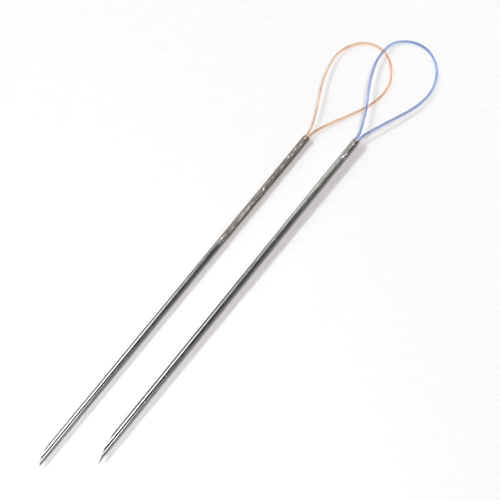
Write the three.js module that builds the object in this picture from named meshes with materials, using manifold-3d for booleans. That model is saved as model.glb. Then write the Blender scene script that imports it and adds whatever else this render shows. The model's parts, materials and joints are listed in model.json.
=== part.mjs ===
// A pair of snag repair needles lying side by side on a table.
// Each is a steel shaft, ground to a one-sided bevel point and drilled at the tail, with a nylon filament
// folded to a loop and staked into the drilled tail. One shaft is roughened over its last third, and the
// other is smooth.
// Millimetres. +X runs from the points to the loops, +Z is up, and the table is at z = 0.
import * as THREE from 'three';
import { mergeVertices } from 'three/addons/utils/BufferGeometryUtils.js';
import Module from 'manifold-3d';

// How the pair lies
const AXIS_SPACING = 6.23;
const MOUTH_STAGGER = 4.15;
const LOOP_REST_GAP = 0.05;

// Rough needle
const ROUGH_LENGTH = 62;
const ROUGH_MOUTH_WALL = 0.1;
const ROUGH_BEVEL_LENGTH = 2.8;
const ROUGH_LANCET_LENGTH = 1.7;
const ROUGH_STAKE_FROM_MOUTH = 2.0;
const ROUGH_STAKE_LENGTH = 0.8;
const ORANGE_FILAMENT_DIAMETER = 0.38;

// Roughened zone of the rough needle: burrs cut into the full diameter
const BURR_ZONE_LENGTH = 21;
const BURR_PITCH = 0.5;
const BURR_DEPTH = 0.04;

// Smooth needle
const SMOOTH_LENGTH = 60.6;
const SMOOTH_MOUTH_WALL = 0.095;
const SMOOTH_BEVEL_LENGTH = 5.0;
const SMOOTH_LANCET_LENGTH = 3.4;
const SMOOTH_STAKE_FROM_MOUTH = 3.1;
const SMOOTH_STAKE_LENGTH = 1.0;
const BLUE_FILAMENT_DIAMETER = 0.42;

// Details that both needles share
const BEVEL_ROLL_DEG = -16;
const LANCET_TURN_DEG = 30;
const BORE_DEPTH = 5.2;
const DRILL_POINT_DEG = 118;
const FILAMENT_IN_BORE = 4.5;
const FILAMENT_CLEARANCE = 0.025;
const LEG_GAP = 0.04;
const MOUTH_CHAMFER = 0.05;
const STAKE_WIDTH = 0.5;
const STAKE_DEPTH = 0.05;

// Facets
const SHAFT_SIDES = 24;
const FILAMENT_SIDES = 8;
const FILAMENT_STEPS = 60;
const DENT_SIDES = 16;
const DENT_RINGS = 10;

// Routes of the two loops, from the left leg round to the right leg: how far out of the mouth, how far to
// the left of the needle's axis, and how far above it
const ORANGE_ROUTE = [
  [1.0, 0.27, 0.05], [2.59, 0.74, 0.17], [4.69, 1.66, 0.27], [6.79, 2.77, 0.34], [8.9, 3.72, 0.33],
  [11.13, 4.35, 0.2], [13.25, 4.54, -0.02], [15.26, 4.05, -0.2], [17.04, 2.89, -0.27], [18.07, 1.18, -0.28],
  [18.21, -0.65, -0.27], [17.54, -2.27, -0.28], [16.33, -3.65, -0.3], [14.83, -4.51, -0.31], [13.03, -4.79, -0.31],
  [11.12, -4.58, -0.29], [8.92, -3.87, -0.25], [6.61, -2.77, -0.19], [4.31, -1.6, -0.12], [2.4, -0.74, -0.06],
  [1.0, -0.27, -0.01],
];
const BLUE_ROUTE = [
  [1.0, 0.3, 0.01], [2.39, 0.81, 0.03], [4.1, 1.56, 0.04], [5.91, 2.51, 0.04], [7.69, 3.58, 0.0],
  [9.68, 4.59, -0.11], [11.8, 5.32, -0.28], [13.92, 5.5, -0.49], [15.85, 5.17, -0.76], [17.36, 3.97, -0.95],
  [18.28, 2.24, -1.0], [18.42, 0.34, -1.0], [17.77, -1.4, -0.99], [16.53, -2.83, -0.97], [14.87, -3.69, -0.9],
  [12.97, -4.07, -0.76], [10.95, -3.94, -0.57], [8.73, -3.34, -0.37], [6.51, -2.46, -0.2], [4.3, -1.53, -0.07],
  [2.4, -0.78, -0.01], [1.0, -0.3, 0.0],
];
// The points of the two routes where the blue loop lies on the orange one
const ORANGE_CROSSING = 10;
const BLUE_CROSSING = 7;

// Finishes
const STEEL = { color: 0x8f8d89, roughness: 0.28, metalness: 1.0 };
const ROUGHENED_STEEL = { color: 0x7d7972, roughness: 0.45, metalness: 1.0 };
const ORANGE_NYLON = { color: 0xe9b48f, roughness: 0.22, metalness: 0.0 };
const BLUE_NYLON = { color: 0x8fa8e0, roughness: 0.22, metalness: 0.0 };

const wasm = await Module();
wasm.setup();

// Solids for cutting

function toSolid(geometry) {
  const bare = geometry.clone();
  bare.deleteAttribute('normal');
  bare.deleteAttribute('uv');
  const merged = mergeVertices(bare);
  const corners = merged.index.array;
  const triVerts = [];
  for (let i = 0; i < corners.length; i += 3) {
    const [a, b, c] = [corners[i], corners[i + 1], corners[i + 2]];
    if (a !== b && b !== c && c !== a) {
      triVerts.push(a, b, c);
    }
  }
  return new wasm.Manifold(new wasm.Mesh({
    numProp: 3,
    vertProperties: new Float32Array(merged.attributes.position.array),
    triVerts: new Uint32Array(triVerts),
  }));
}

function toGeometry(solid) {
  const mesh = solid.getMesh();
  const geometry = new THREE.BufferGeometry();
  geometry.setAttribute('position', new THREE.BufferAttribute(mesh.vertProperties, 3));
  geometry.setIndex(new THREE.BufferAttribute(mesh.triVerts, 1));
  geometry.computeVertexNormals();
  return geometry;
}

// Sizes that follow from the filament: two legs lie side by side in the bore, and the wall closes round them

function boreRadius(filamentDiameter) {
  return filamentDiameter + LEG_GAP / 2 + FILAMENT_CLEARANCE;
}

function needleSizes(sizes) {
  const bore = boreRadius(sizes.filamentDiameter);
  return { ...sizes, bore, radius: bore + sizes.wall };
}

// How much of the burr depth is cut away at one facet corner of one ring, from 0 to 1: an uneven scatter
function burrCut(ring, side) {
  const levels = 97;
  const [ringStride, sideStride, mixStride] = [73, 151, 29];
  return ((ring * ringStride + side * sideStride + ring * side * mixStride) % levels) / (levels - 1);
}

// The turned shaft before grinding: closed profile from the point end, along the outside, into the drilled tail
function shaftBlank(needle) {
  const outward = 1 / Math.cos(Math.PI / SHAFT_SIDES);
  const outer = needle.radius * outward;
  const inner = needle.bore * outward;
  const chamfer = Math.min(MOUTH_CHAMFER, needle.wall / 2);
  const grindStock = needle.radius;
  const bodyEnd = needle.length - chamfer;
  const burrRings = Math.round(needle.burrZone / BURR_PITCH);
  const burrStart = needle.length - needle.burrZone;
  const drillTip = needle.bore / Math.tan(THREE.MathUtils.degToRad(DRILL_POINT_DEG / 2));
  const profile = [new THREE.Vector2(0, -grindStock), new THREE.Vector2(outer, -grindStock)];
  const firstRing = profile.length;
  for (let ring = 0; ring < burrRings; ring += 1) {
    profile.push(new THREE.Vector2(outer, burrStart + (ring * (bodyEnd - burrStart)) / burrRings));
  }
  profile.push(
    new THREE.Vector2(outer, bodyEnd),
    new THREE.Vector2(outer - chamfer, needle.length),
    new THREE.Vector2(inner, needle.length),
    new THREE.Vector2(inner, needle.length - BORE_DEPTH),
    new THREE.Vector2(0, needle.length - BORE_DEPTH - drillTip),
  );
  const blank = new THREE.LatheGeometry(profile, SHAFT_SIDES, Math.PI / SHAFT_SIDES);
  const position = blank.attributes.position;
  for (let column = 0; column <= SHAFT_SIDES; column += 1) {
    for (let ring = 1; ring < burrRings; ring += 1) {
      const corner = column * profile.length + firstRing + ring;
      const kept = 1 - (BURR_DEPTH * burrCut(ring, column % SHAFT_SIDES)) / outer;
      position.setX(corner, position.getX(corner) * kept);
      position.setZ(corner, position.getZ(corner) * kept);
    }
  }
  return blank.rotateZ(-Math.PI / 2);
}

// The block that grinds one face of the point. Its lower face runs from the point, on the shaft's right side,
// across to the left side, and is then turned about the shaft while it still passes through the point.
function pointCutter(needle, faceLength, turnDeg) {
  const diameter = 2 * needle.radius;
  const angle = Math.atan2(diameter, faceLength);
  const face = Math.hypot(diameter, faceLength);
  const reach = 2 * diameter;
  const turn = THREE.MathUtils.degToRad(turnDeg);
  const backToPoint = (needle.radius * (1 - Math.cos(turn))) / Math.tan(angle);
  return new THREE.BoxGeometry(face + 2 * reach, reach, 2 * diameter)
    .translate(face / 2, reach / 2, 0)
    .rotateZ(angle)
    .translate(-backToPoint, -needle.radius, 0)
    .rotateX(turn + THREE.MathUtils.degToRad(BEVEL_ROLL_DEG));
}

// The dent of the punch that stakes the filament, on top of the shaft
function stakeDent(needle) {
  return new THREE.SphereGeometry(1, DENT_SIDES, DENT_RINGS)
    .scale(needle.stakeLength / 2, STAKE_WIDTH / 2, STAKE_DEPTH)
    .translate(needle.length - needle.stakeFromMouth, 0, needle.radius);
}

// Finished shaft, with its mouth at the origin: one main bevel, a lancet face on either side of it, and the
// stake dent
function shaftGeometry(needle) {
  const cuts = [
    pointCutter(needle, needle.bevelLength, 0),
    pointCutter(needle, needle.lancetLength, LANCET_TURN_DEG),
    pointCutter(needle, needle.lancetLength, -LANCET_TURN_DEG),
    stakeDent(needle),
  ];
  const finished = cuts.reduce((shaft, cut) => shaft.subtract(toSolid(cut)), toSolid(shaftBlank(needle)));
  return toGeometry(finished).translate(-needle.length, 0, 0);
}

// Filament from the bore, out of the mouth, round the loop and back into the bore
function filamentGeometry(needle, route) {
  const leg = (needle.filamentDiameter + LEG_GAP) / 2;
  const held = [FILAMENT_IN_BORE, FILAMENT_IN_BORE / 2, needle.filamentDiameter];
  const leftLeg = held.map((depth) => new THREE.Vector3(-depth, leg, 0));
  const rightLeg = held.map((depth) => new THREE.Vector3(-depth, -leg, 0)).reverse();
  const loop = route.map((point) => new THREE.Vector3(...point));
  const path = new THREE.CatmullRomCurve3([...leftLeg, ...loop, ...rightLeg], false, 'centripetal');
  const section = new THREE.Shape();
  for (let side = 0; side < FILAMENT_SIDES; side += 1) {
    const angle = (2 * Math.PI * side) / FILAMENT_SIDES;
    const x = (needle.filamentDiameter / 2) * Math.cos(angle);
    const y = (needle.filamentDiameter / 2) * Math.sin(angle);
    if (side === 0) {
      section.moveTo(x, y);
    } else {
      section.lineTo(x, y);
    }
  }
  return new THREE.ExtrudeGeometry(section, { steps: FILAMENT_STEPS, extrudePath: path, bevelEnabled: false });
}

function namedMesh(name, geometry, finish) {
  const mesh = new THREE.Mesh(geometry, new THREE.MeshStandardMaterial(finish));
  mesh.name = name;
  return mesh;
}

// The two needles, each in a group whose origin is its mouth
const rough = needleSizes({
  length: ROUGH_LENGTH,
  wall: ROUGH_MOUTH_WALL,
  bevelLength: ROUGH_BEVEL_LENGTH,
  lancetLength: ROUGH_LANCET_LENGTH,
  stakeFromMouth: ROUGH_STAKE_FROM_MOUTH,
  stakeLength: ROUGH_STAKE_LENGTH,
  filamentDiameter: ORANGE_FILAMENT_DIAMETER,
  burrZone: BURR_ZONE_LENGTH,
});
const roughShaft = namedMesh('rough_shaft', shaftGeometry(rough), ROUGHENED_STEEL);
const roughNeedle = new THREE.Group();
roughNeedle.add(roughShaft);
roughNeedle.add(namedMesh('orange_filament', filamentGeometry(rough, ORANGE_ROUTE), ORANGE_NYLON));
roughNeedle.position.z = rough.radius;

const smooth = needleSizes({
  length: SMOOTH_LENGTH,
  wall: SMOOTH_MOUTH_WALL,
  bevelLength: SMOOTH_BEVEL_LENGTH,
  lancetLength: SMOOTH_LANCET_LENGTH,
  stakeFromMouth: SMOOTH_STAKE_FROM_MOUTH,
  stakeLength: SMOOTH_STAKE_LENGTH,
  filamentDiameter: BLUE_FILAMENT_DIAMETER,
  burrZone: 0,
});
const smoothShaft = namedMesh('smooth_shaft', shaftGeometry(smooth), STEEL);
const smoothNeedle = new THREE.Group();
smoothNeedle.add(smoothShaft);
smoothNeedle.add(namedMesh('blue_filament', filamentGeometry(smooth, BLUE_ROUTE), BLUE_NYLON));

// The smooth needle's point stands on the table and its loop lies on the orange one, so its tail is propped up
const orangeTop = rough.radius + ORANGE_ROUTE[ORANGE_CROSSING][2] + ORANGE_FILAMENT_DIAMETER / 2;
const [blueReach, , blueRise] = BLUE_ROUTE[BLUE_CROSSING];
const axisAtCrossing = orangeTop + LOOP_REST_GAP + BLUE_FILAMENT_DIAMETER / 2 - blueRise;
const heel = (smooth.bevelLength * (1 - Math.sin(THREE.MathUtils.degToRad(BEVEL_ROLL_DEG)))) / 2;
const pitch = Math.asin((axisAtCrossing - smooth.radius) / (smooth.length - heel + blueReach));
smoothNeedle.rotation.y = -pitch;
smoothNeedle.updateMatrixWorld(true);
const lowest = new THREE.Box3().setFromObject(smoothShaft, true).min.z;
smoothNeedle.position.set(MOUTH_STAGGER, -AXIS_SPACING, -lowest);

// The origin is on the table, in the middle of the two shafts
const pair = new THREE.Group();
pair.add(roughNeedle);
pair.add(smoothNeedle);
pair.updateMatrixWorld(true);
const middle = new THREE.Box3()
  .expandByObject(roughShaft, true)
  .expandByObject(smoothShaft, true)
  .getCenter(new THREE.Vector3());
pair.position.set(-middle.x, -middle.y, 0);

const snagRepairNeedles = new THREE.Group();
snagRepairNeedles.add(pair);

export default snagRepairNeedles;
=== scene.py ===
# A pair of snag repair needles on a pale table, one roughened and one smooth, with crossed nylon loops.
import json
import math
from dataclasses import dataclass

import bmesh
import bpy
import numpy as np
from mathutils import Matrix, Vector


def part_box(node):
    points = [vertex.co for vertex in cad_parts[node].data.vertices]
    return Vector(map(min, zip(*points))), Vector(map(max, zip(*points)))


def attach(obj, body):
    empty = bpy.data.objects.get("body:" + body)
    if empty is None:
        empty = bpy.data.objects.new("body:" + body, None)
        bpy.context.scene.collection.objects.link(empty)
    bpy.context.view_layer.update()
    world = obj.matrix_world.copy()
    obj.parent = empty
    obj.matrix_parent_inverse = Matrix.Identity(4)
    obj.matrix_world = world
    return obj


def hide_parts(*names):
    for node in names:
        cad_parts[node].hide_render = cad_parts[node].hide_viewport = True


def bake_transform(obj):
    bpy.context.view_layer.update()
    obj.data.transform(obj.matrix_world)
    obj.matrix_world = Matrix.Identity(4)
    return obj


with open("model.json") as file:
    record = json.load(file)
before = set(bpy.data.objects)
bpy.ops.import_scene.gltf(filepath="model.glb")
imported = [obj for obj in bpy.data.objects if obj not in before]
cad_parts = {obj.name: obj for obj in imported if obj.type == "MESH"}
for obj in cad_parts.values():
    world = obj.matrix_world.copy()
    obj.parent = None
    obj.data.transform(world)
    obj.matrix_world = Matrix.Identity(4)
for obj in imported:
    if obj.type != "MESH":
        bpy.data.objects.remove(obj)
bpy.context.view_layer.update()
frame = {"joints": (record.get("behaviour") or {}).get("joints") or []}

MM = 0.001

# Camera: the ends of the two shafts in the photograph fix where it stands
CAMERA_AIM = Vector((10.09, -0.99, 0.0)) * MM
CAMERA_DISTANCE = 140 * MM
CAMERA_AZIMUTH = math.radians(-51.114)
CAMERA_ELEVATION = math.radians(80.045)
CAMERA_NEAREST = 1 * MM
CAMERA_FARTHEST = 100.0
FOCAL_PIXELS = 942.945
FRAME_PIXELS = 500

# Routes of the loops in millimetres: out of the mouth, to the left of the needle's axis, and above it
ORANGE_ROUTE = [
    (1.0, 0.27, 0.05), (2.59, 0.74, 0.17), (4.69, 1.66, 0.27), (6.79, 2.77, 0.34),
    (8.9, 3.72, 0.33), (11.13, 4.35, 0.2), (13.25, 4.54, -0.02), (15.26, 4.05, -0.2),
    (17.04, 2.89, -0.27), (18.07, 1.18, -0.28), (18.21, -0.65, -0.27), (17.54, -2.27, -0.28),
    (16.33, -3.65, -0.3), (14.83, -4.51, -0.31), (13.03, -4.79, -0.31), (11.12, -4.58, -0.29),
    (8.92, -3.87, -0.25), (6.61, -2.77, -0.19), (4.31, -1.6, -0.12), (2.4, -0.74, -0.06),
    (1.0, -0.27, -0.01),
]
BLUE_ROUTE = [
    (1.0, 0.3, 0.01), (2.39, 0.81, 0.03), (4.1, 1.56, 0.04), (5.91, 2.51, 0.04),
    (7.69, 3.58, 0.0), (9.68, 4.59, -0.11), (11.8, 5.32, -0.28), (13.92, 5.5, -0.49),
    (15.85, 5.17, -0.76), (17.36, 3.97, -0.95), (18.28, 2.24, -1.0), (18.42, 0.34, -1.0),
    (17.77, -1.4, -0.99), (16.53, -2.83, -0.97), (14.87, -3.69, -0.9), (12.97, -4.07, -0.76),
    (10.95, -3.94, -0.57), (8.73, -3.34, -0.37), (6.51, -2.46, -0.2), (4.3, -1.53, -0.07),
    (2.4, -0.78, -0.01), (1.0, -0.3, 0.0),
]

# Shared sizes of the needles
BEVEL_ROLL = math.radians(-16)
LANCET_TURN = math.radians(30)
BORE_DEPTH = 5.2 * MM
DRILL_POINT = math.radians(118)
FILAMENT_IN_BORE = 4.5 * MM
LEG_GAP = 0.04 * MM
MOUTH_CHAMFER = 0.05 * MM

# Roughened zone: short chisel nicks, each with a burr thrown up on the side of the tail
BURR_ZONE = 19 * MM
BURR_FADE = 3.5 * MM
BURR_HEIGHT = 0.014 * MM
NICK_COUNT = 2800
NICK_LENGTH = (0.1 * MM, 0.24 * MM)
NICK_WIDTH = (0.08 * MM, 0.13 * MM)
NICK_DEPTH = (0.025 * MM, 0.075 * MM)
NICK_SLANT = math.radians(85)
NICK_SEED = 11
# How far behind the middle of its nick a burr stands, in half widths of the nick
BURR_BEHIND = 1.6

# A dent deeper than this shows bright, freshly struck steel
STRUCK_DEPTH = 0.02 * MM

# Mesh fineness
SHAFT_SIDES = 72
BORE_RINGS = 8
FINE_STEP = 0.06 * MM
PLAIN_STEP = 1.5 * MM
FILAMENT_SIDES = 16
STEPS_PER_POINT = 10
TABLE_SIDES = 64
SHARP_EDGE = math.radians(60)
# Decimals of a ring's place in metres, so that rings at one place count once
PLACE_DIGITS = 9

# Material slots of a shaft
OUTSIDE_SLOT, GROUND_SLOT, DRILLED_SLOT = range(3)

# Parts of a noise that become a mask, from none of it to all of it
STREAK_BAND = (0.3, 0.7)
HAZE_BAND = (0.35, 0.7)
# The low places of the grain get painted shade: this mask grows as the noise falls
PAINTED_SHADE_BAND = (0.62, 0.4)

# Drawn and polished steel: the colours and sizes of its streaks, its hazy patches, and its roughness
DRAWN_DARK = (0.28, 0.277, 0.275, 1)
DRAWN_BRIGHT = (0.38, 0.376, 0.373, 1)
DRAWN_RUN = 30 * MM
DRAWN_WIDTH = 0.12 * MM
DRAWN_HEIGHT = 0.0003 * MM
STEEL_PATCH = 4 * MM
POLISHED_DULL = (0.13, 0.145)
STEEL_EDGE_TINT = (0.1, 0.1, 0.1, 1)
TURNED_PULL = 0.9
QUARTER_TURN = 0.25

# Torn steel of the roughened zone
TORN_BRIGHT = (0.46, 0.42, 0.39, 1)
# Near-black painted shade for the low places of the torn grain
TORN_PAINTED_SHADE = (0.05, 0.044, 0.038, 1)
TORN_DULL = (0.07, 0.15)
TORN_GRAIN = 0.11 * MM
TORN_HEIGHT = 0.03 * MM
TORN_EDGE = 0.6 * MM
TORN_EDGE_GRAIN = 0.25 * MM
# Shares of the rubble and of the drawn streaks in the height of torn steel
RUBBLE_SHARE = 0.6
STREAK_SHARE = 0.01

# Ground flats of the points
GROUND_DARK = (0.88, 0.875, 0.87, 1)
GROUND_BRIGHT = (0.95, 0.945, 0.94, 1)
GROUND_DULL = (0.08, 0.14)
GROUND_RUN = 4 * MM
GROUND_WIDTH = 0.04 * MM
GROUND_HEIGHT = 0.0008 * MM
GRINDING_TURN = math.radians(68)

# Wall of the drilled hole
DRILLED_CLEAN = (0.3, 0.29, 0.28, 1)
# Painted shade in patches on the wall of the hole
DRILLED_PAINTED_SHADE = (0.12, 0.11, 0.1, 1)
DRILLED_DULL = (0.35, 0.55)
DRILLED_GRAIN = 0.1 * MM
DRILLED_HEIGHT = 0.008 * MM

# Nylon: its pale and its deep colour, and what it lets through to the table right under it
ORANGE_NYLON = ((0.79, 0.605, 0.45, 1), (0.63, 0.41, 0.31, 1), (1.0, 0.88, 0.81, 1))
BLUE_NYLON = ((0.325, 0.41, 0.665, 1), (0.24, 0.315, 0.565, 1), (0.86, 0.93, 1.0, 1))
NYLON_DULL = (0.17, 0.23)
NYLON_IOR = 1.53
NYLON_GLOSS = 0.18
NYLON_GLINT = (0.3, 0.3, 0.3, 1)
NYLON_PATCH = 2.5 * MM
# Streaks of the nylon: their length, their width as a share of one turn, and their height
NYLON_RUN = 4 * MM
NYLON_WIDTH = 0.12
NYLON_HEIGHT = 0.0003 * MM
# How far from a filament its glow on the table starts to fade, and where it is gone
GLOW_REACH = (0.4 * MM, 1.0 * MM)
# What the light keeps beyond that at each wall of the filament
FAR_SHADOW = (0.72, 0.71, 0.71, 1)

# Table
TABLE_RADIUS = 20.0
TABLE_DROP = 0.02 * MM
PAPER_DARK = (0.925, 0.925, 0.925, 1)
PAPER_BRIGHT = (0.955, 0.955, 0.955, 1)
PAPER_RUN = 4 * MM
PAPER_WIDTH = 0.6 * MM
PAPER_DULL = 0.9
PAPER_GLOSS = 0.1
# The grain of the paper runs across the picture
PAPER_TURN = -CAMERA_AZIMUTH

# Light: the directions in which the two lights on the left and the one over the points stand
KEY_SIDE = Vector((-0.22, 0.70, 0.67))
LEFT_SIDE = Vector((-0.06, 0.69, 0.72))
POINT_SIDE = Vector((-0.2, -0.587, 0.793))
COOL_LIGHT = (0.97, 0.995, 1.02)
WARM_LIGHT = (1.03, 0.99, 0.97)
WINDOW_DISTANCE = 1.5
# Windows that show only in the gloss: the direction, the size along and across the shafts, and the watts
WINDOWS = {
    "key_window": (KEY_SIDE, (0.25, 0.8), 6.2),
    "side_window": (LEFT_SIDE, (0.3, 0.8), 4.2),
    "point_window": (POINT_SIDE, (0.2, 0.6), 3.2),
}
# Suns that don't show in the gloss: the direction, the strength and the angle in degrees
SHADOW_SUNS = {
    "key_lamp": (KEY_SIDE, 1.35, 11),
    "side_lamp": (LEFT_SIDE, 0.62, 12),
}
# Suns over the tails and the loops, which show in the gloss too
LOOP_SUNS = {
    "tail_lamp": (Vector((0.2, 0.88, 0.43)), 0.3, 7),
    "mouth_lamp": (Vector((0.32, 0.04, 0.95)), 0.2, 6),
    "loop_lamp": (Vector((0.49, -0.03, 0.87)), 1.6, 5),
}
# Small panel that brightens the table near the points
POINT_PANEL_PLACE = Vector((-48, -77, 104)) * MM
POINT_PANEL_AIM = Vector((-48, 0, 0)) * MM
POINT_PANEL_SIZE = (20 * MM, 22 * MM)
POINT_PANEL_SPREAD = math.radians(60)
POINT_PANEL_WATTS = 0.0055
# Brightness of the room round the shafts: degrees from straight up towards the left, and the level
ROOM_LEVELS = [(-90, 0.5), (-72, 0.4), (-55, 0.12), (-42, 0.03), (20, 0.03), (60, 0.05), (90, 0.08)]
# Backdrop above the horizon, and how far a reflection leans towards the ends of the needles to show it
BACKDROP = (0.93, 0.925, 0.92, 1)
BACKDROP_LEAN = (0.4, 0.75)


@dataclass
class Punch:
    """A small dent in a shaft: how far from the mouth, how far round from the top, and its size."""

    from_mouth: float
    round_from_top: float
    length: float
    width: float
    depth: float


@dataclass
class Needle:
    """One needle, in metres apart from its route. The mouth is its own origin, and +X leads out of it."""

    shaft: str
    filament: str
    body: str
    loop_body: str
    swing: str
    mouth_wall: float
    bevel_length: float
    lancet_length: float
    burr_zone: float
    filament_diameter: float
    filament_length: float
    route: list
    punches: list

    def __post_init__(self):
        """Takes the mouth, the radius, the length and the tilt from the frame."""
        joint = next(j for j in frame["joints"] if j["name"] == self.swing)
        low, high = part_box(self.shaft)
        self.mouth = Vector(joint["pos_m"])
        self.radius = (high.y - low.y) / 2
        self.bore = self.radius - self.mouth_wall
        self.chamfer = min(MOUTH_CHAMFER, self.mouth_wall / 2)
        # The shaft rests on the heel of its bevel and rises from there to the mouth
        heel = self.bevel_length * (1 - math.sin(BEVEL_ROLL)) / 2
        reach = self.mouth.x - low.x
        tilt = math.asin((self.mouth.z - self.radius) / (reach - heel))
        self.length = reach / math.cos(tilt)
        self.place = Matrix.Translation(self.mouth) @ Matrix.Rotation(-tilt, 4, "Y")


ROUGH = Needle(
    shaft="rough_shaft",
    filament="orange_filament",
    body="rough_needle",
    loop_body="orange_loop",
    swing="orange_loop_swing",
    mouth_wall=0.1 * MM,
    bevel_length=2.8 * MM,
    lancet_length=1.7 * MM,
    burr_zone=BURR_ZONE,
    filament_diameter=0.38 * MM,
    filament_length=52.4 * MM,
    route=ORANGE_ROUTE,
    punches=[Punch(2.1 * MM, math.radians(4), 0.9 * MM, 0.4 * MM, 0.018 * MM)],
)
SMOOTH = Needle(
    shaft="smooth_shaft",
    filament="blue_filament",
    body="smooth_needle",
    loop_body="blue_loop",
    swing="blue_loop_swing",
    mouth_wall=0.095 * MM,
    bevel_length=5.0 * MM,
    lancet_length=3.4 * MM,
    burr_zone=0.0,
    filament_diameter=0.42 * MM,
    filament_length=53.2 * MM,
    route=BLUE_ROUTE,
    punches=[
        Punch(3.1 * MM, 0.0, 1.0 * MM, 0.5 * MM, 0.01 * MM),
        Punch(3.42 * MM, 0.0, 0.44 * MM, 0.34 * MM, 0.055 * MM),
        Punch(2.9 * MM, math.radians(13), 0.3 * MM, 0.24 * MM, 0.035 * MM),
        Punch(0.65 * MM, math.radians(-3), 0.34 * MM, 0.3 * MM, 0.04 * MM),
        Punch(13.1 * MM, math.radians(-8), 0.16 * MM, 0.3 * MM, 0.012 * MM),
    ],
)


# Camera

def make_camera():
    back = Vector((
        math.sin(CAMERA_AZIMUTH) * math.cos(CAMERA_ELEVATION),
        -math.cos(CAMERA_AZIMUTH) * math.cos(CAMERA_ELEVATION),
        math.sin(CAMERA_ELEVATION),
    ))
    data = bpy.data.cameras.new("camera")
    data.lens = data.sensor_width * FOCAL_PIXELS / FRAME_PIXELS
    data.clip_start = CAMERA_NEAREST
    data.clip_end = CAMERA_FARTHEST
    camera = bpy.data.objects.new("camera", data)
    camera.location = CAMERA_AIM + back * CAMERA_DISTANCE
    camera.rotation_euler = (-back).to_track_quat("-Z", "Y").to_euler()
    bpy.context.scene.collection.objects.link(camera)
    bpy.context.scene.camera = camera


# Meshes

def add_object(name, mesh, *materials):
    made = bpy.data.objects.new(name, mesh)
    bpy.context.scene.collection.objects.link(made)
    for material in materials:
        mesh.materials.append(material)
    return made


def finished_mesh(bm, name):
    mesh = bpy.data.meshes.new(name)
    bm.to_mesh(mesh)
    bm.free()
    return mesh


def smooth_path(points, steps):
    """Points along a centripetal Catmull-Rom curve, which runs straight on past its two ends."""
    points = np.array(points)
    first = 2 * points[0] - points[1]
    last = 2 * points[-1] - points[-2]
    guided = np.vstack([first, points, last])
    share = np.linspace(0, 1, steps, endpoint=False)[:, None]
    stretches = []
    for a, b, c, d in zip(guided, guided[1:], guided[2:], guided[3:]):
        before, middle, after = (math.sqrt(np.linalg.norm(q - p)) for p, q in ((a, b), (b, c), (c, d)))
        out = ((b - a) / before - (c - a) / (before + middle) + (c - b) / middle) * middle
        into = ((c - b) / middle - (d - b) / (middle + after) + (d - c) / after) * middle
        stretches.append(
            b + out * share
            + (3 * (c - b) - 2 * out - into) * share ** 2
            + (2 * (b - c) + out + into) * share ** 3
        )
    return [Vector(p) for p in np.vstack([*stretches, points[-1:]])]


def filament_path(needle):
    """Centre line of a filament: out of the bore, round the loop and back into the bore beside itself."""
    leg = (needle.filament_diameter + LEG_GAP) / 2
    held = [-FILAMENT_IN_BORE, -FILAMENT_IN_BORE / 2, -needle.filament_diameter]
    left_leg = [(x, leg, 0.0) for x in held]
    right_leg = [(x, -leg, 0.0) for x in reversed(held)]
    loop = [tuple(value * MM for value in point) for point in needle.route]
    return [needle.place @ point for point in smooth_path(left_leg + loop + right_leg, STEPS_PER_POINT)]


def tube_rings(bm, path, radius, sides):
    """Rings of corners round a path, carried along it without a twist."""
    last = len(path) - 1
    tangents = [(path[min(i + 1, last)] - path[max(i - 1, 0)]).normalized() for i in range(len(path))]
    turns = [2 * math.pi * k / sides for k in range(sides)]
    side = tangents[0].orthogonal().normalized()
    rings = []
    for i, (point, tangent) in enumerate(zip(path, tangents)):
        if i:
            side = tangents[i - 1].rotation_difference(tangent) @ side
        other = tangent.cross(side)
        spokes = [side * math.cos(t) + other * math.sin(t) for t in turns]
        rings.append([bm.verts.new(point + spoke * radius) for spoke in spokes])
    return rings


def tube_mesh(name, path, radius, sides):
    """Round tube with closed ends. Its UV map has the length in metres along U and one turn along V."""
    bm = bmesh.new()
    along = bm.loops.layers.uv.new("length_and_turn")
    rings = tube_rings(bm, path, radius, sides)
    run = 0.0
    for here, there, start, end in zip(rings, rings[1:], path, path[1:]):
        step = (end - start).length
        for k in range(sides):
            following = (k + 1) % sides
            face = bm.faces.new((here[k], here[following], there[following], there[k]))
            face.smooth = True
            spots = ((run, k), (run, k + 1), (run + step, k + 1), (run + step, k))
            for loop, (u, turn) in zip(face.loops, spots):
                loop[along].uv = (u, turn / sides)
        run += step
    bm.faces.new(list(reversed(rings[0])))
    bm.faces.new(rings[-1])
    bmesh.ops.recalc_face_normals(bm, faces=bm.faces)
    return finished_mesh(bm, name)


def steps_between(start, end, step):
    return np.round(np.linspace(start, end, max(2, round((end - start) / step) + 1)), PLACE_DIGITS)


def shaft_stations(needle):
    """Where the rings of a shaft's outside lie: close together where something is worked into the steel."""
    start = -needle.length - needle.radius
    end = -needle.chamfer
    worked = [(-p.from_mouth - p.length, -p.from_mouth + p.length) for p in needle.punches]
    if needle.burr_zone:
        worked.append((-needle.burr_zone - BURR_FADE, end))
    stations = set(steps_between(start, end, PLAIN_STEP))
    for low, high in worked:
        stations.update(steps_between(low, min(high, end), FINE_STEP))
    return np.array(sorted(stations))


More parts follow.
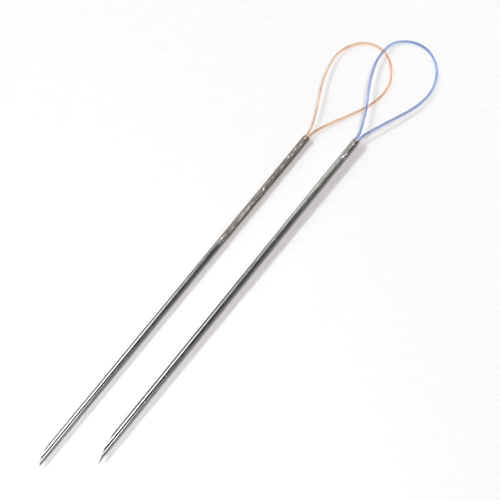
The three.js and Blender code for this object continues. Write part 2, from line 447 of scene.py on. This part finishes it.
def nick_field(needle, x, turn):
    """How far roughening moves the steel: nicks cut in, and the burr behind each reaches the full radius."""
    chance = np.random.default_rng(NICK_SEED)
    farthest = 2 * max(*NICK_LENGTH, *NICK_WIDTH)
    cut = np.zeros(x.shape)
    burr = np.zeros(x.shape)
    for _ in range(NICK_COUNT):
        centre = -chance.uniform(0, needle.burr_zone + BURR_FADE)
        angle = chance.uniform(0, 2 * math.pi)
        slant = chance.uniform(-1, 1) * NICK_SLANT
        length = chance.uniform(*NICK_LENGTH) / 2
        width = chance.uniform(*NICK_WIDTH) / 2
        depth = chance.uniform(*NICK_DEPTH)
        near = slice(*np.searchsorted(x[:, 0], (centre - farthest, centre + farthest)))
        forward = x[near] - centre
        sideways = (np.mod(turn[near] - angle + math.pi, 2 * math.pi) - math.pi) * needle.radius
        across = (forward * math.cos(slant) + sideways * math.sin(slant)) / width
        along = (sideways * math.cos(slant) - forward * math.sin(slant)) / length
        cut[near] = np.maximum(cut[near], depth * np.exp(-(across ** 2) - along ** 2))
        thrown = BURR_HEIGHT * np.exp(-((across - BURR_BEHIND) ** 2) - along ** 2)
        burr[near] = np.maximum(burr[near], thrown)
    fade = np.clip((x + needle.burr_zone + BURR_FADE) / BURR_FADE, 0, 1)
    return (burr - BURR_HEIGHT - cut) * fade


def punch_field(needle, x, turn):
    """How far the stake and other dents move the steel."""
    moved = np.zeros(x.shape)
    for punch in needle.punches:
        angle = math.pi / 2 + punch.round_from_top
        forward = (x + punch.from_mouth) / (punch.length / 2)
        sideways = np.sin(turn - angle) * needle.radius / (punch.width / 2)
        on_this_side = np.cos(turn - angle) > 0
        bowl = np.clip(1 - forward ** 2 - sideways ** 2, 0, None)
        moved -= punch.depth * np.sqrt(bowl) * on_this_side
    return moved


def grind_face(bm, needle, face_length, turn):
    """Cuts one flat of the point. It starts at the tip, on the right, and runs out on the left."""
    slope = math.atan2(2 * needle.radius, face_length)
    behind = needle.radius * (1 - math.cos(turn)) / math.tan(slope)
    swing = Matrix.Rotation(turn + BEVEL_ROLL, 3, "X")
    cut = bmesh.ops.bisect_plane(
        bm,
        geom=[*bm.verts, *bm.edges, *bm.faces],
        plane_co=swing @ Vector((-needle.length - behind, -needle.radius, 0)),
        plane_no=swing @ Vector((-math.sin(slope), math.cos(slope), 0)),
        clear_outer=True,
    )
    rim = [edge for edge in cut["geom_cut"] if isinstance(edge, bmesh.types.BMEdge)]
    for face in bmesh.ops.edgeloop_fill(bm, edges=rim)["faces"]:
        face.material_index = GROUND_SLOT
        face.smooth = False


def worked_blank(bm, needle):
    """Lathed blank with a drilled tail, nicked and punched on the outside, before its point is ground."""
    outside = shaft_stations(needle)
    inside = np.linspace(0, -BORE_DEPTH, BORE_RINGS)
    radii = np.concatenate([
        np.full(len(outside), needle.radius),
        [needle.radius - needle.chamfer],
        np.full(len(inside), needle.bore),
    ])
    turns = np.linspace(0, 2 * math.pi, SHAFT_SIDES, endpoint=False)
    x, turn = np.meshgrid(np.concatenate([outside, [0.0], inside]), turns, indexing="ij")
    radius = np.repeat(radii[:, None], SHAFT_SIDES, axis=1)
    worked = slice(len(outside))
    dents = punch_field(needle, x[worked], turn[worked])
    radius[worked] += dents
    if needle.burr_zone:
        radius[worked] += nick_field(needle, x[worked], turn[worked])
    corners = np.stack([x, radius * np.cos(turn), radius * np.sin(turn)], axis=-1)
    rings = [[bm.verts.new(corner) for corner in ring] for ring in corners]
    for i, (here, there) in enumerate(zip(rings, rings[1:])):
        for k in range(SHAFT_SIDES):
            following = (k + 1) % SHAFT_SIDES
            face = bm.faces.new((here[k], there[k], there[following], here[following]))
            face.smooth = True
            if i > len(outside):
                face.material_index = DRILLED_SLOT
            elif i + 1 < len(outside) and dents[i, k] + dents[i + 1, following] < -2 * STRUCK_DEPTH:
                face.material_index = GROUND_SLOT
            else:
                face.material_index = OUTSIDE_SLOT
    bm.faces.new(rings[0])
    drill_tip = bm.verts.new((-BORE_DEPTH - needle.bore / math.tan(DRILL_POINT / 2), 0, 0))
    for k in range(SHAFT_SIDES):
        face = bm.faces.new((rings[-1][k], drill_tip, rings[-1][(k + 1) % SHAFT_SIDES]))
        face.material_index = DRILLED_SLOT


def shaft_mesh(needle):
    """Steel shaft, ground to its point."""
    bm = bmesh.new()
    worked_blank(bm, needle)
    grind_face(bm, needle, needle.bevel_length, 0.0)
    grind_face(bm, needle, needle.lancet_length, LANCET_TURN)
    grind_face(bm, needle, needle.lancet_length, -LANCET_TURN)
    bmesh.ops.recalc_face_normals(bm, faces=bm.faces)
    bm.transform(needle.place)
    mesh = finished_mesh(bm, needle.shaft)
    mesh.set_sharp_from_angle(angle=SHARP_EDGE)
    return mesh


# Node helpers

# Where a Mix node keeps its two inputs and the result, for colours and for numbers
MIX_SOCKETS = {"RGBA": (6, 7, 2), "FLOAT": (2, 3, 0)}


def add_node(tree, kind, **settings):
    made = tree.nodes.new("ShaderNode" + kind)
    for name, value in settings.items():
        setattr(made, name, value)
    return made


def feed(tree, socket, value):
    """Links an output to a socket, or sets the socket to a plain value."""
    if isinstance(value, bpy.types.NodeSocket):
        tree.links.new(value, socket)
    else:
        socket.default_value = value


def math_node(tree, operation, first, second=0.0):
    made = add_node(tree, "Math", operation=operation)
    feed(tree, made.inputs[0], first)
    feed(tree, made.inputs[1], second)
    return made.outputs[0]


def map_range(tree, value, given=(0.0, 1.0), wanted=(0.0, 1.0), smooth=False):
    """Carries a value from the given range over to the wanted one."""
    made = add_node(tree, "MapRange", interpolation_type="SMOOTHSTEP" if smooth else "LINEAR")
    for socket, entry in zip(made.inputs, (value, *given, *wanted)):
        feed(tree, socket, entry)
    return made.outputs[0]


def counted_in(tree, place, along, across=None):
    """The place, counted in one size along X and another across it, or in the same size all ways."""
    across = along if across is None else across
    size = add_node(tree, "CombineXYZ")
    for socket, entry in zip(size.inputs, (along, across, across)):
        feed(tree, socket, entry)
    made = add_node(tree, "VectorMath", operation="DIVIDE")
    feed(tree, made.inputs[0], place)
    feed(tree, made.inputs[1], size.outputs[0])
    return made.outputs["Vector"]


def turned_place(tree, place, angle):
    """The place, turned about the upright axis."""
    made = add_node(tree, "Mapping", vector_type="POINT")
    feed(tree, made.inputs["Vector"], place)
    made.inputs["Rotation"].default_value = (0, 0, angle)
    return made.outputs[0]


def noise(tree, vector, detail=2.0, roughness=0.5):
    made = add_node(tree, "TexNoise")
    feed(tree, made.inputs["Vector"], vector)
    made.inputs["Scale"].default_value = 1.0
    made.inputs["Detail"].default_value = detail
    made.inputs["Roughness"].default_value = roughness
    return made.outputs["Fac"]


def mix(tree, share, first, second, kind="RGBA"):
    """Two colours, or two numbers where the kind is FLOAT, mixed from the first to the second."""
    first_socket, second_socket, result = MIX_SOCKETS[kind]
    made = add_node(tree, "Mix", data_type=kind)
    feed(tree, made.inputs["Factor"], share)
    feed(tree, made.inputs[first_socket], first)
    feed(tree, made.inputs[second_socket], second)
    return made.outputs[result]


def new_group(name, inputs, outputs):
    """An empty node group, where an input without a value is a vector. It returns its tree and sockets."""
    tree = bpy.data.node_groups.new(name, "ShaderNodeTree")
    for label, value in inputs.items():
        kind = "NodeSocketVector" if value is None else "NodeSocketFloat"
        socket = tree.interface.new_socket(label, in_out="INPUT", socket_type=kind)
        if value is not None:
            socket.default_value = value
    for label in outputs:
        tree.interface.new_socket(label, in_out="OUTPUT", socket_type="NodeSocketFloat")
    start = tree.nodes.new("NodeGroupInput")
    end = tree.nodes.new("NodeGroupOutput")
    return tree, start.outputs, end.inputs


def place_group(tree, group, **values):
    made = tree.nodes.new("ShaderNodeGroup")
    made.node_tree = group
    for label, value in values.items():
        feed(tree, made.inputs[label], value)
    return made.outputs


# Effects that several finishes share

def drawn_streaks_group():
    """Lines left by drawing and polishing: long along the wire and thin across it."""
    inputs = {"Place": None, "Run": DRAWN_RUN, "Width": DRAWN_WIDTH}
    tree, given, out = new_group("drawn_streaks", inputs, ["Streak"])
    stretched = counted_in(tree, given["Place"], given["Run"], given["Width"])
    raw = noise(tree, stretched, detail=3.0, roughness=0.6)
    feed(tree, out["Streak"], map_range(tree, raw, STREAK_BAND))
    return tree


def haze_group():
    """Soft patches where the surface has been handled, a few millimetres across."""
    tree, given, out = new_group("handling_haze", {"Place": None, "Patch": STEEL_PATCH}, ["Haze"])
    raw = noise(tree, counted_in(tree, given["Place"], given["Patch"]), detail=4.0)
    feed(tree, out["Haze"], map_range(tree, raw, HAZE_BAND, smooth=True))
    return tree


def zone_group():
    """A stretch of the needle from Start towards the mouth, with an uneven edge."""
    inputs = {"Place": None, "Start": 0.0, "Fade": BURR_FADE, "Unevenness": TORN_EDGE}
    tree, given, out = new_group("zone_along_needle", inputs, ["Zone"])
    split = add_node(tree, "SeparateXYZ")
    feed(tree, split.inputs[0], given["Place"])
    grain = noise(tree, counted_in(tree, given["Place"], TORN_EDGE_GRAIN))
    wander = math_node(tree, "MULTIPLY", math_node(tree, "SUBTRACT", grain, 0.5), given["Unevenness"])
    shifted = math_node(tree, "ADD", split.outputs["X"], wander)
    end = math_node(tree, "ADD", given["Start"], given["Fade"])
    feed(tree, out["Zone"], map_range(tree, shifted, (given["Start"], end), smooth=True))
    return tree


def grit_group():
    """Fine broken grain of torn steel: a height for the bump, and a mask of painted shade for its low
    places.
    """
    tree, given, out = new_group("torn_grit", {"Place": None, "Grain": TORN_GRAIN}, ["Height", "Painted_shade"])
    scaled = counted_in(tree, given["Place"], given["Grain"])
    cells = add_node(tree, "TexVoronoi", feature="F1")
    feed(tree, cells.inputs["Vector"], scaled)
    cells.inputs["Scale"].default_value = 1.0
    rubble = noise(tree, scaled, detail=5.0, roughness=0.65)
    lumps = math_node(tree, "MULTIPLY", rubble, RUBBLE_SHARE)
    feed(tree, out["Height"], math_node(tree, "ADD", lumps, cells.outputs["Distance"]))
    feed(tree, out["Painted_shade"], map_range(tree, rubble, PAINTED_SHADE_BAND))
    return tree


STREAKS = drawn_streaks_group()
HAZE = haze_group()
ZONE = zone_group()
GRIT = grit_group()


# Finishes

def new_material(name):
    """A new material. It returns this, its node tree, its Principled shader and the place on the object."""
    material = bpy.data.materials.new(name)
    material.use_nodes = True
    tree = material.node_tree
    tree.nodes.clear()
    shader = add_node(tree, "BsdfPrincipled")
    output = add_node(tree, "OutputMaterial")
    tree.links.new(shader.outputs[0], output.inputs["Surface"])
    place = add_node(tree, "TexCoord").outputs["Object"]
    return material, tree, shader, place


def set_values(shader, values):
    for name, value in values.items():
        shader.inputs[name].default_value = value


def add_bump(tree, shader, height, distance):
    bump = add_node(tree, "Bump")
    feed(tree, bump.inputs["Height"], height)
    bump.inputs["Distance"].default_value = distance
    bump.inputs["Strength"].default_value = 1.0
    feed(tree, shader.inputs["Normal"], bump.outputs[0])


def turned_finish(tree, shader):
    """Fine marks round the shaft from centreless grinding: reflections are drawn out along the shaft."""
    set_values(shader, {
        "Metallic": 1.0,
        "Specular Tint": STEEL_EDGE_TINT,
        "Anisotropic": TURNED_PULL,
        "Anisotropic Rotation": QUARTER_TURN,
    })
    round_shaft = add_node(tree, "Tangent", direction_type="RADIAL", axis="X")
    feed(tree, shader.inputs["Tangent"], round_shaft.outputs[0])


def drawn_look(tree, place):
    """Streaks, colour and roughness of drawn and polished steel."""
    streak = place_group(tree, STREAKS, Place=place, Run=DRAWN_RUN, Width=DRAWN_WIDTH)["Streak"]
    haze = place_group(tree, HAZE, Place=place, Patch=STEEL_PATCH)["Haze"]
    colour = mix(tree, streak, DRAWN_DARK, DRAWN_BRIGHT)
    return streak, colour, map_range(tree, haze, wanted=POLISHED_DULL)


def polished_steel():
    """Ground and polished steel with fine lengthwise streaks."""
    material, tree, shader, place = new_material("polished_steel")
    turned_finish(tree, shader)
    streak, colour, dull = drawn_look(tree, place)
    feed(tree, shader.inputs["Base Color"], colour)
    feed(tree, shader.inputs["Roughness"], dull)
    add_bump(tree, shader, streak, DRAWN_HEIGHT)
    return material


def roughened_steel(needle):
    """The same steel, torn over the last third of the needle, with painted shade in the low places."""
    material, tree, shader, place = new_material("roughened_steel")
    turned_finish(tree, shader)
    streak, polished, polished_dull = drawn_look(tree, place)
    start = needle.mouth.x - needle.burr_zone - BURR_FADE
    zone = place_group(tree, ZONE, Place=place, Start=start, Fade=BURR_FADE, Unevenness=TORN_EDGE)["Zone"]
    grit = place_group(tree, GRIT, Place=place, Grain=TORN_GRAIN)
    # Torn steel, darkened with painted shade in the low places of its grain
    torn = mix(tree, grit["Painted_shade"], TORN_BRIGHT, TORN_PAINTED_SHADE)
    torn_dull = map_range(tree, grit["Painted_shade"], wanted=TORN_DULL)
    feed(tree, shader.inputs["Base Color"], mix(tree, zone, polished, torn))
    feed(tree, shader.inputs["Roughness"], mix(tree, zone, polished_dull, torn_dull, kind="FLOAT"))
    lines = math_node(tree, "MULTIPLY", streak, STREAK_SHARE)
    torn_height = math_node(tree, "MULTIPLY", grit["Height"], zone)
    add_bump(tree, shader, math_node(tree, "ADD", lines, torn_height), TORN_HEIGHT)
    return material


def ground_steel():
    """The flats of a point, with grinding lines that run across the needle."""
    material, tree, shader, place = new_material("ground_steel")
    turned = turned_place(tree, place, GRINDING_TURN)
    lines = place_group(tree, STREAKS, Place=turned, Run=GROUND_RUN, Width=GROUND_WIDTH)["Streak"]
    set_values(shader, {"Metallic": 1.0})
    feed(tree, shader.inputs["Base Color"], mix(tree, lines, GROUND_DARK, GROUND_BRIGHT))
    feed(tree, shader.inputs["Roughness"], map_range(tree, lines, wanted=GROUND_DULL))
    add_bump(tree, shader, lines, GROUND_HEIGHT)
    return material


def drilled_steel():
    """The wall of the drilled hole, darkened in patches with painted shade."""
    material, tree, shader, place = new_material("drilled_steel")
    grit = place_group(tree, GRIT, Place=place, Grain=DRILLED_GRAIN)
    set_values(shader, {"Metallic": 1.0})
    # Painted shade in patches darkens the wall of the hole
    feed(tree, shader.inputs["Base Color"], mix(tree, grit["Painted_shade"], DRILLED_CLEAN, DRILLED_PAINTED_SHADE))
    feed(tree, shader.inputs["Roughness"], map_range(tree, grit["Painted_shade"], wanted=DRILLED_DULL))
    add_bump(tree, shader, grit["Height"], DRILLED_HEIGHT)
    return material


def clear_nylon(name, pale, deep, glow):
    """Clear coloured monofilament. It glows on the table right under it, and shades it from higher up."""
    material, tree, shader, place = new_material(name)
    unrolled = add_node(tree, "UVMap", uv_map="length_and_turn").outputs[0]
    lines = place_group(tree, STREAKS, Place=unrolled, Run=NYLON_RUN, Width=NYLON_WIDTH)["Streak"]
    haze = place_group(tree, HAZE, Place=place, Patch=NYLON_PATCH)["Haze"]
    feed(tree, shader.inputs["Base Color"], mix(tree, haze, pale, deep))
    feed(tree, shader.inputs["Roughness"], map_range(tree, lines, wanted=NYLON_DULL))
    set_values(shader, {
        "Transmission Weight": 1.0,
        "IOR": NYLON_IOR,
        "Specular IOR Level": NYLON_GLOSS,
        "Specular Tint": NYLON_GLINT,
    })
    add_bump(tree, shader, lines, NYLON_HEIGHT)
    lamps_through = add_node(tree, "BsdfTransparent")
    chosen = add_node(tree, "MixShader")
    ray = add_node(tree, "LightPath").outputs
    away = map_range(tree, ray["Ray Length"], GLOW_REACH)
    feed(tree, lamps_through.inputs["Color"], mix(tree, away, glow, FAR_SHADOW))
    let_through = math_node(tree, "MAXIMUM", ray["Is Shadow Ray"], ray["Is Diffuse Ray"])
    feed(tree, chosen.inputs["Fac"], let_through)
    tree.links.new(shader.outputs[0], chosen.inputs[1])
    tree.links.new(lamps_through.outputs[0], chosen.inputs[2])
    output = next(n for n in tree.nodes if n.type == "OUTPUT_MATERIAL")
    tree.links.new(chosen.outputs[0], output.inputs["Surface"])
    return material


def pale_paper():
    """Matt white sheet with a faint grain."""
    material, tree, shader, place = new_material("pale_paper")
    turned = turned_place(tree, place, PAPER_TURN)
    grain = place_group(tree, STREAKS, Place=turned, Run=PAPER_RUN, Width=PAPER_WIDTH)["Streak"]
    feed(tree, shader.inputs["Base Color"], mix(tree, grain, PAPER_DARK, PAPER_BRIGHT))
    set_values(shader, {"Roughness": PAPER_DULL, "Specular IOR Level": PAPER_GLOSS})
    return material


# Pieces

def make_filament(needle, finish):
    path = filament_path(needle)
    filament = add_object(
        needle.filament + "_strand",
        tube_mesh(needle.filament, path, needle.filament_diameter / 2, FILAMENT_SIDES),
        finish,
    )
    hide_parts(needle.filament)
    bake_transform(filament)


def make_shaft(needle, finishes):
    shaft = add_object(needle.shaft + "_steel", shaft_mesh(needle), *finishes)
    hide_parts(needle.shaft)
    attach(shaft, needle.body)


def make_table():
    bm = bmesh.new()
    bmesh.ops.create_circle(bm, cap_ends=True, segments=TABLE_SIDES, radius=TABLE_RADIUS)
    bm.transform(Matrix.Translation((0, 0, -TABLE_DROP)))
    add_object("table", finished_mesh(bm, "table"), pale_paper())


# Light

def make_lamp(name, kind, direction, strength, colour):
    """A lamp that shines from this direction. Its own X side runs along the shafts, and Y across them."""
    data = bpy.data.lights.new(name, kind)
    data.energy = strength
    data.color = colour
    lamp = bpy.data.objects.new(name, data)
    back = direction.normalized()
    across = Vector((0, -back.z, back.y)).normalized()
    lamp.rotation_euler = Matrix((across.cross(back), across, back)).transposed().to_euler()
    bpy.context.scene.collection.objects.link(lamp)
    return lamp


def make_panel(name, place, aim, size, watts):
    """A lit panel that faces the aim, out of the camera's sight."""
    panel = make_lamp(name, "AREA", place - aim, watts, COOL_LIGHT)
    panel.location = place
    panel.data.shape = "RECTANGLE"
    panel.data.size, panel.data.size_y = size
    panel.visible_camera = False
    return panel


def make_sun(name, direction, strength, degrees, colour):
    sun = make_lamp(name, "SUN", direction, strength, colour)
    sun.data.angle = math.radians(degrees)
    return sun


def make_lamps():
    for name, (direction, size, watts) in WINDOWS.items():
        window = make_panel(name, direction * WINDOW_DISTANCE, Vector(), size, watts)
        window.visible_diffuse = False
        window.visible_transmission = False
    for name, settings in SHADOW_SUNS.items():
        make_sun(name, *settings, COOL_LIGHT).visible_glossy = False
    for name, settings in LOOP_SUNS.items():
        make_sun(name, *settings, WARM_LIGHT)
    panel = make_panel(
        "point_panel", POINT_PANEL_PLACE, POINT_PANEL_AIM, POINT_PANEL_SIZE, POINT_PANEL_WATTS
    )
    panel.data.spread = POINT_PANEL_SPREAD
    panel.visible_glossy = False


def make_world():
    """A dim room, dark overhead and paler low on the right, with a pale backdrop behind the table."""
    world = bpy.data.worlds.new("room")
    bpy.context.scene.world = world
    world.use_nodes = True
    tree = world.node_tree
    split = add_node(tree, "SeparateXYZ")
    feed(tree, split.inputs[0], add_node(tree, "TexCoord").outputs["Generated"])
    turn = math_node(tree, "ARCTAN2", split.outputs["Y"], split.outputs["Z"])
    ramp = add_node(tree, "ValToRGB")
    feed(tree, ramp.inputs[0], map_range(tree, turn, (-math.pi / 2, math.pi / 2)))
    levels = ramp.color_ramp.elements
    while len(levels) < len(ROOM_LEVELS):
        levels.new(0.5)
    for element, (degrees, level) in zip(levels, ROOM_LEVELS):
        element.position = degrees / 180 + 0.5
        element.color = (level, level, level, 1)
    lean = math_node(tree, "ABSOLUTE", split.outputs["X"])
    ray = add_node(tree, "LightPath").outputs
    mirrored = math_node(tree, "MULTIPLY", map_range(tree, lean, BACKDROP_LEAN), ray["Is Glossy Ray"])
    direct = math_node(tree, "MAXIMUM", ray["Is Camera Ray"], ray["Is Transmission Ray"])
    shown = math_node(tree, "MAXIMUM", direct, mirrored)
    background = tree.nodes["Background"]
    feed(tree, background.inputs["Color"], mix(tree, shown, ramp.outputs[0], BACKDROP))


make_camera()
make_filament(ROUGH, clear_nylon("orange_nylon", *ORANGE_NYLON))
make_filament(SMOOTH, clear_nylon("blue_nylon", *BLUE_NYLON))
ground = ground_steel()
drilled = drilled_steel()
make_shaft(ROUGH, [roughened_steel(ROUGH), ground, drilled])
make_shaft(SMOOTH, [polished_steel(), ground, drilled])
make_table()
make_lamps()
make_world()

bpy.context.scene.view_settings.view_transform = "Standard"
